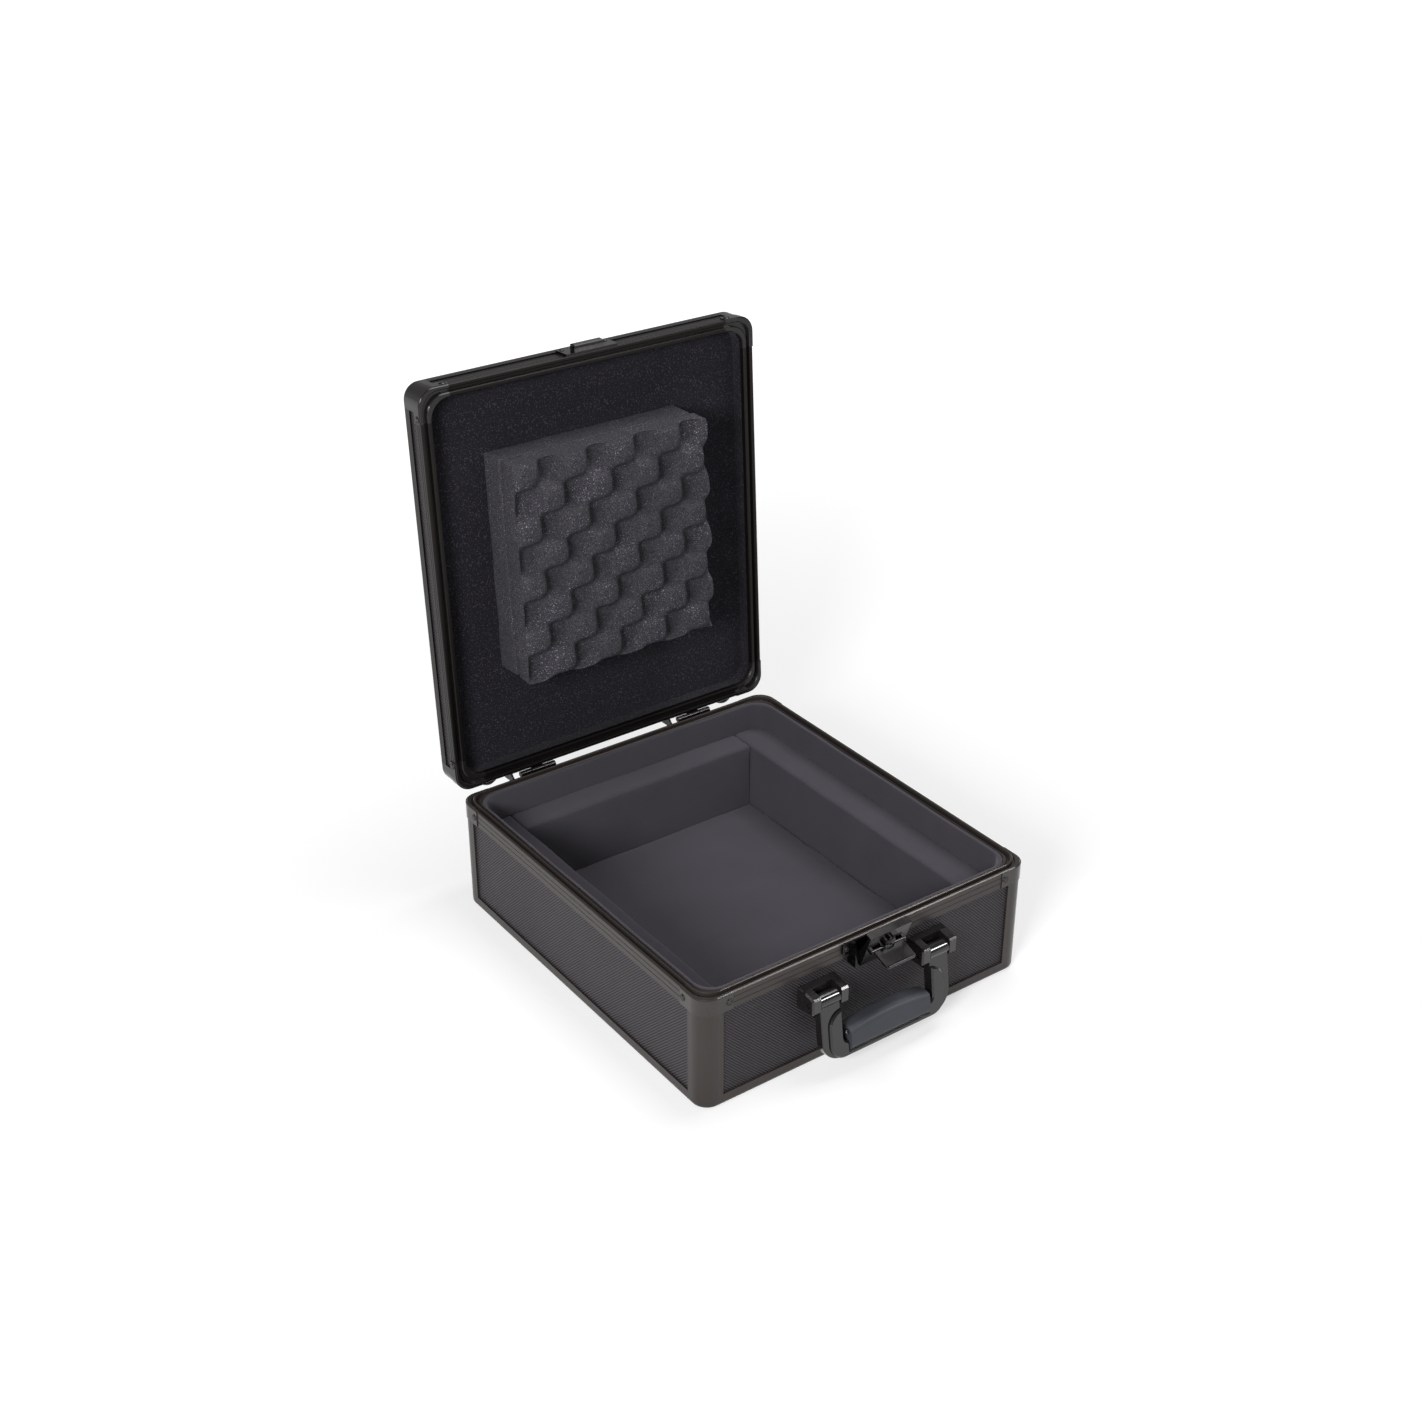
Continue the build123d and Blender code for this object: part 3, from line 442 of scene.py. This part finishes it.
def drawn_profile(name, colour, way, shine=0.5):
    """Dark anodised profile, with fine lines along the run and faint hazy patches."""
    f = Finish(name)
    fine = tuple(4.0 if i == way else 900.0 for i in range(3))
    lines = f.noise(1.0, 3, 0.6, fine)
    haze = f.noise(7, 4, seed=3.0)
    grain = f.noise(1500, 2)
    tone = f.mix(lines * 0.55 + haze * 0.45, shade(colour, 0.72), shade(colour, 1.30))
    rough = 0.24 + haze * 0.12 + lines * 0.06
    return f.close(tone, rough, f.bump(lines * 0.6 + grain * 0.4, 0.00003, 0.55), Metallic=0.45,
                   Specular_IOR_Level=shine)


def gloss_coat(name, colour, roughness, peel, shine=0.6):
    """Gloss coating: an even colour with a faint peel and light finger haze."""
    f = Finish(name)
    haze = f.noise(22, 4)
    orange = f.noise(380, 2, seed=1.0)
    specks = f.noise(1300, 1, seed=5.0).step(0.70, 0.78)
    tone = f.mix(haze * 0.6 + specks * 0.4, shade(colour, 0.75), shade(colour, 1.6))
    rough = roughness + haze.step(0.45, 0.75) * 0.09 + specks * 0.1
    return f.close(tone, rough, f.bump(orange, peel, 0.35), Specular_IOR_Level=shine, Coat_Weight=0.15,
                   Coat_Roughness=0.05)


def dark_plating(name, colour, roughness):
    """Dark plated steel: a metal with smudges and hair-fine scratches."""
    f = Finish(name)
    smudge = f.noise(30, 4)
    hair = f.noise(1.0, 2, 0.5, (2200, 60, 300), 2.0)
    tone = f.mix(smudge, shade(colour, 0.7), shade(colour, 1.35))
    rough = roughness + smudge.step(0.4, 0.7) * 0.12 + hair * 0.07
    return f.close(tone, rough, f.bump(hair, 0.00002, 0.4), Metallic=0.92, Specular_IOR_Level=0.6)


def short_pile(colour):
    """Velour over foam: a soft mottled nap with a fine upright pile and a few stray fibres."""
    f = Finish("charcoal velour")
    nap = f.noise(26, 5, 0.6, seed=4.0)
    brushed = f.noise(1.0, 3, 0.5, (9, 30, 16), 9.0)
    pile = f.noise(1900, 3, 0.7)
    lint = f.cells(420).step(0.16, 0.05)
    tone = f.mix(nap * 0.5 + brushed * 0.3 + pile * 0.2, shade(colour, 0.74), shade(colour, 1.26))
    tone = f.mix(lint * 0.16, tone, shade(colour, 2.2))
    return f.close(tone, 0.90 + pile * 0.1, f.bump(pile * 0.7 + nap * 0.3, 0.00028, 0.55),
                   Specular_IOR_Level=0.15, Sheen_Weight=0.35, Sheen_Roughness=0.5,
                   Sheen_Tint=(0.55, 0.54, 0.60, 1.0))


def speckled_felt(colour):
    """Black needled felt with pale fibres scattered in it."""
    f = Finish("black speckled felt")
    lump = f.noise(240, 4, 0.65)
    tuft = f.noise(1100, 3, 0.7, seed=2.0)
    fleck = f.noise(760, 2, 0.5, seed=8.0).step(0.55, 0.68)
    patch = f.noise(14, 3, seed=6.0)
    tone = f.mix(patch * 0.5 + tuft * 0.5, shade(colour, 0.50), shade(colour, 1.5))
    tone = f.mix(fleck * (0.40 + patch * 0.40), tone, shade(colour, 8.0))
    return f.close(tone, 0.95, f.bump(lump * 0.6 + tuft * 0.4, 0.0009, 0.8), Specular_IOR_Level=0.12,
                   Sheen_Weight=0.12, Sheen_Roughness=0.6, Sheen_Tint=(0.5, 0.5, 0.55, 1.0))


def open_foam(colour):
    """Open-cell foam: a fine pored skin, with single cell walls that catch the light as specks."""
    f = Finish("charcoal foam")
    pore = f.cells(900)
    rough_skin = f.noise(950, 3, 0.7).step(0.36, 0.64)
    cloud = f.noise(18, 3, seed=3.0)
    glint = f.noise(900, 1, 0.5, seed=12.0).step(0.63, 0.74)
    tone = f.mix(rough_skin * 0.8 + cloud * 0.2, shade(colour, 0.36), shade(colour, 1.55))
    tone = f.mix(glint * (0.35 + cloud.step(0.42, 0.62) * 0.5), tone, shade(colour, 8.0))
    return f.close(tone, 0.93, f.bump(pore * 0.6 + rough_skin * 0.4, 0.0007, 0.6), Specular_IOR_Level=0.2)


def soft_moulding(name, colour, roughness, grain):
    """Soft moulded rubber with a fine leathery grain and soft patches that are lighter and rougher."""
    f = Finish(name)
    hide = f.cells(grain)
    rub = f.noise(30, 4)
    tone = f.mix(rub * 0.6 + hide * 0.4, shade(colour, 0.80), shade(colour, 1.22))
    rough = roughness + rub * 0.12 - hide * 0.05
    return f.close(tone, rough, f.bump(hide, 0.00012, 0.35), Specular_IOR_Level=0.28, Coat_Weight=0.06,
                   Coat_Roughness=0.3)


# What a user would change

def length_setting(name, default, description):
    return bpy.props.FloatProperty(name=name, description=description, default=default, unit="LENGTH")


def colour_setting(name, default, description):
    return bpy.props.FloatVectorProperty(name=name, description=description, subtype="COLOR", default=default)


class CaseSizes(bpy.types.PropertyGroup):
    rib_pitch: length_setting("Rib pitch", 0.0021, "Spacing of the slanting ribs on the boards")
    wave_period: length_setting("Foam wave", 0.050, "Length of one bump and hollow of the foam")
    wave_height: length_setting("Foam bump", 0.0065, "Half the height of the foam's bumps")
    wave_square: bpy.props.FloatProperty(name="Foam plateau", description="How flat the tops of the bumps are",
                                         default=3.0)
    rivet_radius: length_setting("Rivet radius", 0.0034, "Radius of the corner rivets")
    screw_radius: length_setting("Screw radius", 0.0024, "Radius of the latch screws")


class CaseColours(bpy.types.PropertyGroup):
    laminate: colour_setting("Boards", (0.028, 0.0230, 0.0275), "Colour of the ribbed boards")
    profile: colour_setting("Profiles", (0.047, 0.0395, 0.0365), "Colour of the edge and rim profiles")
    coat: colour_setting("Gloss coat", (0.011, 0.0095, 0.0095), "Colour of the brackets and handle")
    plating: colour_setting("Plating", (0.024, 0.022, 0.023), "Colour of the latch and hinges")
    grip: colour_setting("Grip", (0.056, 0.058, 0.070), "Colour of the soft grip")
    velour: colour_setting("Velour", (0.056, 0.052, 0.062), "Colour of the base's lining")
    felt: colour_setting("Felt", (0.0105, 0.0095, 0.0130), "Colour of the lid's lining")
    foam: colour_setting("Foam", (0.053, 0.051, 0.060), "Colour of the lid's foam")


class CASE_OT_finishes(bpy.types.Operator):
    """Make the finishes and give each solid its own"""
    bl_idname = "case.finishes"
    bl_label = "Finishes"

    def execute(self, context):
        tint, size = context.scene.case_colours, context.scene.case_sizes
        FINISHES.update({
            "laminate": ribbed_laminate(tint.laminate, size.rib_pitch),
            "profile_x": drawn_profile("profile along x", tint.profile, 0),
            "profile_y": drawn_profile("profile along y", tint.profile, 1),
            "profile_z": drawn_profile("profile along z", tint.profile, 2),
            # The lid's profiles are darker copies of the same profile: painted shade for the dark surroundings
            # they reflect
            "lid_x_painted_shade": drawn_profile("lid profile along x painted shade", shade(tint.profile, 0.20), 0, 0.18),
            "lid_z_painted_shade": drawn_profile("lid profile along z painted shade", shade(tint.profile, 0.26), 2, 0.2),
            "bracket": gloss_coat("black corner coat", shade(tint.coat, 1.2), 0.20, 0.00003, 0.22),
            "corner": gloss_coat("rim corner coat", shade(tint.profile, 0.75), 0.22, 0.00003, 0.4),
            "gloss": gloss_coat("gloss black moulding", tint.coat, 0.10, 0.00001),
            "plating": dark_plating("dark plating", tint.plating, 0.13),
            "fastener": dark_plating("dark steel heads", shade(tint.plating, 2.4), 0.26),
            "grip": soft_moulding("slate soft grip", tint.grip, 0.50, 1500),
            "foot": soft_moulding("black rubber", (0.014, 0.014, 0.014), 0.6, 900),
            "velour": short_pile(tint.velour),
            "felt": speckled_felt(tint.felt),
            "foam": open_foam(tint.foam)})
        slots = {part["node"]: part["material_slot"] for part in frame["record"]["subparts"]}
        for name, obj in NODES.items():
            key = SLOT_FINISHES[slots[name]]
            # The lid's profiles take the darker copies, which are painted shade
            if name.startswith("lid_") and slots[name] == "profile":
                key = "lid_z_painted_shade" if name in ALONG_Y else "lid_x_painted_shade"
            elif name in ALONG_Y:
                key = "profile_y"
            elif name in ("base_corner_posts", "base_bottom_corners"):
                key = "profile_z"
            elif name == "base_rim_corners":
                key = "corner"
            elif name.startswith("lid_") and slots[name] == "lining":
                key = "felt"
            for slot in obj.material_slots:
                slot.material = FINISHES[key]
        return {"FINISHED"}


class CASE_OT_base_lining(bpy.types.Operator):
    """Line the base: four padded ledges, a floor pad and a padded upper wall"""
    bl_idname = "case.base_lining"
    bl_label = "Base lining"

    def execute(self, context):
        for node, along, radius, seed in PADS:
            low, high = corner_box(node)
            shell = soft_block(low, high, radius, along, 0.00022, 0.11, seed)
            pad = add_piece("velour_" + node, [shell], "base", FINISHES["velour"], 60)
            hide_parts(node)
        low, high = corner_box("base_wall_lining")
        half = plan_half()
        out, top = half[0] - high[0], high[2]
        inner, bead, step = out + WALL_THICK, out + WALL_BEAD, top - WALL_STEP
        section = soft_turns([(out, low[2]), (inner, low[2]), (inner, top), (bead, top), (bead, step),
                              (out, step)], [0.0004, 0.0012, 0.0016, 0.0004, 0.0003, 0.0004], 6)
        points, cells = plan_ring(section, half)
        wall = add_piece("velour_upper_wall", [(warp(points, 0.00016, 0.14, 2.0), cells)], "base",
                         FINISHES["velour"], 60)
        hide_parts("base_wall_lining")
        return {"FINISHED"}


class CASE_OT_lid_lining(bpy.types.Operator):
    """Line the lid with felt: one sheet against the top and one round the walls"""
    bl_idname = "case.lid_lining"
    bl_label = "Lid lining"

    def execute(self, context):
        x, y = FELT_HALF
        sheet = soft_block((-x, -y, FELT_JOIN), (x, y, FELT_HIGH), 0.0010, 0, 0.00018, 0.09, 3.0)
        top = add_piece("felt_top", opened([sheet]), "lid", FINISHES["felt"], 60)
        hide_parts("lid_top_lining")
        section = soft_turns([(FELT_OUT, FELT_LOW), (FELT_IN, FELT_LOW), (FELT_IN, FELT_JOIN),
                              (FELT_OUT, FELT_JOIN)], 0.0007, 5)
        points, cells = plan_ring(section, plan_half())
        wall = add_piece("felt_walls", opened([(warp(points, 0.00012, 0.08, 1.0), cells)]), "lid",
                         FINISHES["felt"], 60)
        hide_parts("lid_wall_lining")
        return {"FINISHED"}


class CASE_OT_lid_foam(bpy.types.Operator):
    """Set the wavy foam pad on its slab in the lid"""
    bl_idname = "case.lid_foam"
    bl_label = "Lid foam"

    def execute(self, context):
        size = context.scene.case_sizes
        block = soft_block((FOAM_LEFT, FOAM_NEAR, FOAM_FRONT), (FOAM_RIGHT, FOAM_FAR, FOAM_BACK), 0.0020, 0,
                           0.00025, 0.07, 2.0)
        slab = add_piece("foam_slab_piece", opened([block]), "lid", FINISHES["foam"], 35)
        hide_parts("foam_slab")
        layer = wavy_layer((FOAM_LEFT, FOAM_NEAR, 0), (FOAM_RIGHT, FOAM_FAR, FOAM_FRONT - WAVE_GAP), WAVE_DROP,
                           size.wave_height, (size.wave_period, WAVE_STRETCH * size.wave_period), WAVE_PEAK,
                           size.wave_square, WAVE_CELLS)
        pad = add_piece("foam_waves_piece", opened(layer), "lid", FINISHES["foam"], 35)
        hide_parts("foam_waves")
        return {"FINISHED"}


class CASE_OT_fasteners(bpy.types.Operator):
    """Put domed rivets at the corners and hinges, cross-head screws at the latch and strike, and studs
    at the ends of the grip"""
    bl_idname = "case.fasteners"
    bl_label = "Rivets and screws"

    def execute(self, context):
        size, half = context.scene.case_sizes, plan_half()
        steel = FINISHES["fastener"]
        rivet = rivet_head(size.rivet_radius)
        low = add_piece("rivets_base_corners", spun(rivet, corner_spots(half, BASE_RIVET_Z)), "base",
                        steel)
        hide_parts("base_rim_rivets")
        high = add_piece("rivets_lid_corners", opened(spun(rivet, corner_spots(half, LID_RIVET_Z))), "lid",
                         steel)
        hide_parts("lid_rim_rivets")

        small, back = rivet * (0.6, 0.8), half[1] + HINGE_PROUD
        rivet_x = [s * HINGE_X + d for s in (-1, 1) for d in (-HINGE_RIVET_X, HINGE_RIVET_X)]
        base = spun(small, [((x, back, HINGE_BASE_Z), (0, 1, 0), 0.0) for x in rivet_x])
        add_piece("hinge_base_rivets", base, "base", steel)
        lid = spun(small, [((x, back, HINGE_LID_Z), (0, 1, 0), 0.0) for x in rivet_x])
        add_piece("hinge_lid_rivets", opened(lid), "lid", steel)

        pan, face = pan_head(size.screw_radius), -half[1] - SCREW_PROUD
        latch = [((s * LATCH_X, face, LATCH_Z), (0, -1, 0), 0.5 * s + 0.3) for s in (-1, 1)]
        add_piece("latch_screws", spun(pan, latch, 48, SCREW_CROSS), "base", steel)
        strike = [((s * STRIKE_X, face, STRIKE_Z), (0, -1, 0), 0.4 * s) for s in (-1, 1)]
        add_piece("strike_screws", opened(spun(pan, strike, 48, SCREW_CROSS)), "lid", steel)

        ends = [(on_handle((s * STUD_X, STUD_OUT, STUD_DOWN)), (s, 0, 0), 0.0) for s in (-1, 1)]
        add_piece("grip_studs", spun(stud_head(), ends), "handle", FINISHES["gloss"])
        return {"FINISHED"}


class CASE_OT_stage(bpy.types.Operator):
    """Lay the white floor, and place the camera and the soft lights"""
    bl_idname = "case.stage"
    bl_label = "Floor, lights and camera"

    def execute(self, context):
        scene = context.scene
        far = FLOOR_REACH
        mesh = bpy.data.meshes.new("floor")
        mesh.from_pydata([(-far, -far, 0), (far, -far, 0), (far, far, 0), (-far, far, 0)], [], [(0, 1, 2, 3)])
        floor = bpy.data.objects.new("floor", mesh)
        scene.collection.objects.link(floor)

        # The floor takes shadows, and glows for the camera and in reflections, more so further away
        f = Finish("white floor")
        lit = f.add("ShaderNodeBsdfDiffuse", None, {"Color": (0.50, 0.50, 0.50, 1), "Roughness": 0.3})
        reach = f.add("ShaderNodeVectorMath", {"operation": "LENGTH"}, {0: f.place}, "Value")
        glow = f.add("ShaderNodeEmission", None, {"Color": 0.54 + reach.step(0.35, 2.2) * 0.44, "Strength": 1.0})
        both = f.add("ShaderNodeAddShader", None, {0: lit, 1: glow})
        rays = f.outputs("ShaderNodeLightPath")
        seen = rays["Is Camera Ray"].math("MAXIMUM", rays["Is Camera Ray"], rays["Is Glossy Ray"])
        seen = seen.math("MAXIMUM", seen, rays["Is Transmission Ray"])
        f.add_output(f.add("ShaderNodeMixShader", None, {0: seen, 1: lit, 2: both}))
        mesh.materials.append(f.material)

        # The room is dim, paler to the back, near the horizon and to the left, and white to the camera
        scene.world = bpy.data.worlds.new("pale room")
        f = Finish("", scene.world)
        way = f.add("ShaderNodeTexCoord", out="Generated")
        axes = f.outputs("ShaderNodeSeparateXYZ", {"Vector": way})
        left = (1 - axes["X"].step(-0.9, 0.5)) * 0.10
        level = 0.18 + axes["Y"].step(0.2, 0.7) * 0.12 + (1 - axes["Z"].step(0.10, 0.42)) * (0.24 + left)
        seen = f.add("ShaderNodeLightPath", out="Is Camera Ray")
        level = level.math("MAXIMUM", level, seen)
        f.add_output(f.add("ShaderNodeBackground", None, {"Color": level, "Strength": 1.0}),
                     "ShaderNodeOutputWorld")

        for name, place, turn, width, power in LAMPS:
            lamp = bpy.data.lights.new(name, "AREA")
            lamp.shape, lamp.size, lamp.energy = "SQUARE", width, power
            obj = bpy.data.objects.new(name, lamp)
            obj.location, obj.rotation_euler = place, [radians(a) for a in turn]
            obj.visible_diffuse = name != "glint"
            scene.collection.objects.link(obj)

        camera = bpy.data.objects.new("camera", bpy.data.cameras.new("camera"))
        camera.data.lens, camera.data.sensor_width = CAMERA_LENS, 36.0
        camera.location, camera.rotation_euler = CAMERA_PLACE, [radians(a) for a in CAMERA_TURN]
        scene.collection.objects.link(camera)
        scene.camera = camera
        scene.view_settings.view_transform = "Standard"
        return {"FINISHED"}


OPERATORS = (CASE_OT_finishes, CASE_OT_base_lining, CASE_OT_lid_lining, CASE_OT_lid_foam, CASE_OT_fasteners,
             CASE_OT_stage)


class CASE_PT_panel(bpy.types.Panel):
    """The case's pieces, sizes and colours"""
    bl_idname = "CASE_PT_panel"
    bl_label = "Mixer case"
    bl_space_type, bl_region_type, bl_category = "VIEW_3D", "UI", "Case"

    def draw(self, context):
        for group in (context.scene.case_sizes, context.scene.case_colours):
            box = self.layout.box()
            for key in group.__annotations__:
                box.prop(group, key)
        for operator in OPERATORS:
            self.layout.operator(operator.bl_idname)


CLASSES = (CaseSizes, CaseColours) + OPERATORS + (CASE_PT_panel,)


def register():
    for cls in CLASSES:
        bpy.utils.register_class(cls)
    bpy.types.Scene.case_sizes = bpy.props.PointerProperty(type=CaseSizes)
    bpy.types.Scene.case_colours = bpy.props.PointerProperty(type=CaseColours)


def unregister():
    del bpy.types.Scene.case_colours, bpy.types.Scene.case_sizes
    for cls in reversed(CLASSES):
        bpy.utils.unregister_class(cls)


def main():
    register()
    for name in ("finishes", "base_lining", "lid_lining", "lid_foam", "fasteners", "stage"):
        getattr(bpy.ops.case, name)()


if __name__ == "__main__":
    main()
